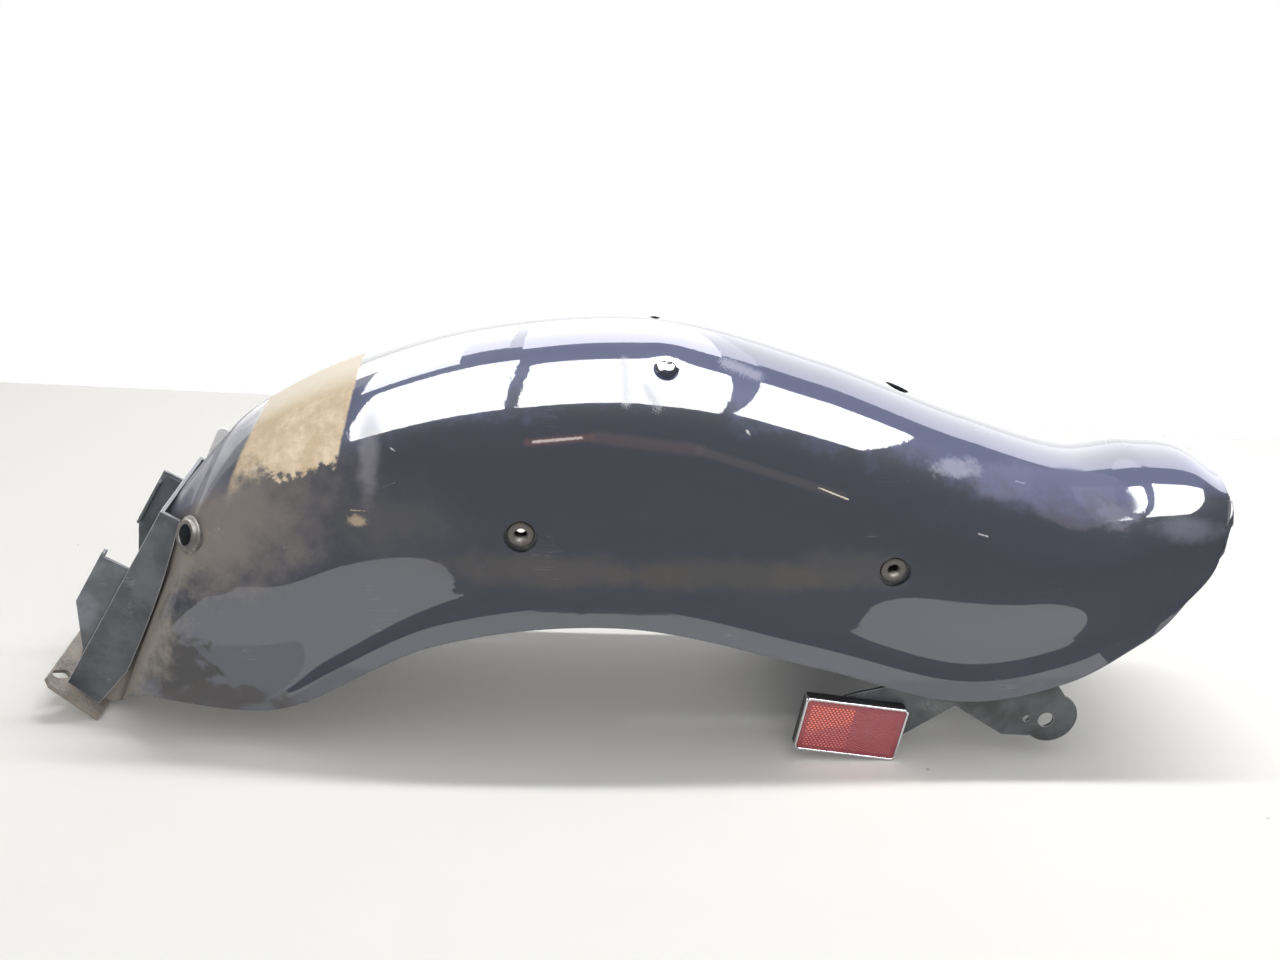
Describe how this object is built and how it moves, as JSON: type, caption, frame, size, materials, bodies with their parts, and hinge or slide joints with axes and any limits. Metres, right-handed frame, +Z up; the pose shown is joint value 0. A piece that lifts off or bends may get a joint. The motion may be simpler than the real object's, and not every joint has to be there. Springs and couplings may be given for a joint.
{
  "type": "motorcycle rear fender",
  "caption": "Long pressed steel rear fender with a round crown, flared skirts, a narrow nose with a bracket, side strut nuts, rear stays with lugs, and red side reflectors.",
  "frame": {"origin": "middle of the length and width, on the ground plane that the fender stands on", "axes": "+X from the nose (front of the motorcycle) to the tail, +Y to the right side of the motorcycle, +Z up"},
  "size_m": [1, 0.226, 0.3574],
  "materials": {
    "shell_paint": "gloss dark navy paint, scratched, with a band of dried dirt",
    "flange_dusty": "black paint under tan dust",
    "bracket_black": "satin black paint",
    "plate_grey": "satin grey plate",
    "stiffener_black": "satin black paint",
    "tab_pale": "dull bare steel",
    "collar_dusty": "dusty black paint",
    "strap_black": "satin black paint",
    "nut_steel": "dull zinc",
    "screw_chrome": "polished",
    "small_nut": "bright zinc",
    "stay_black": "worn satin black paint",
    "housing_black": "fine grain",
    "bezel_bright": "bright trim",
    "lens_red": "red reflex lens"
  },
  "bodies": {
    "root": {"fender_shell": "shell_paint", "base_flange": "flange_dusty", "front_bracket": "bracket_black", "hook_bracket_left": "plate_grey", "hook_bracket_right": "plate_grey", "hook_stiffener": "stiffener_black", "cable_tab": "tab_pale", "collar_left": "collar_dusty", "collar_right": "collar_dusty", "side_strap_left": "strap_black", "side_strap_right": "strap_black", "side_nuts_left": "nut_steel", "side_nuts_right": "nut_steel", "seat_screws": "screw_chrome", "seat_nuts": "small_nut", "rear_stay_left": "stay_black", "rear_stay_right": "stay_black", "reflector_housing_left": "housing_black", "reflector_housing_right": "housing_black", "reflector_bezel_left": "bezel_bright", "reflector_bezel_right": "bezel_bright", "reflector_lens_left": "lens_red", "reflector_lens_right": "lens_red", "reflector_nuts_left": "small_nut", "reflector_nuts_right": "small_nut"}
  },
  "joints": []
}
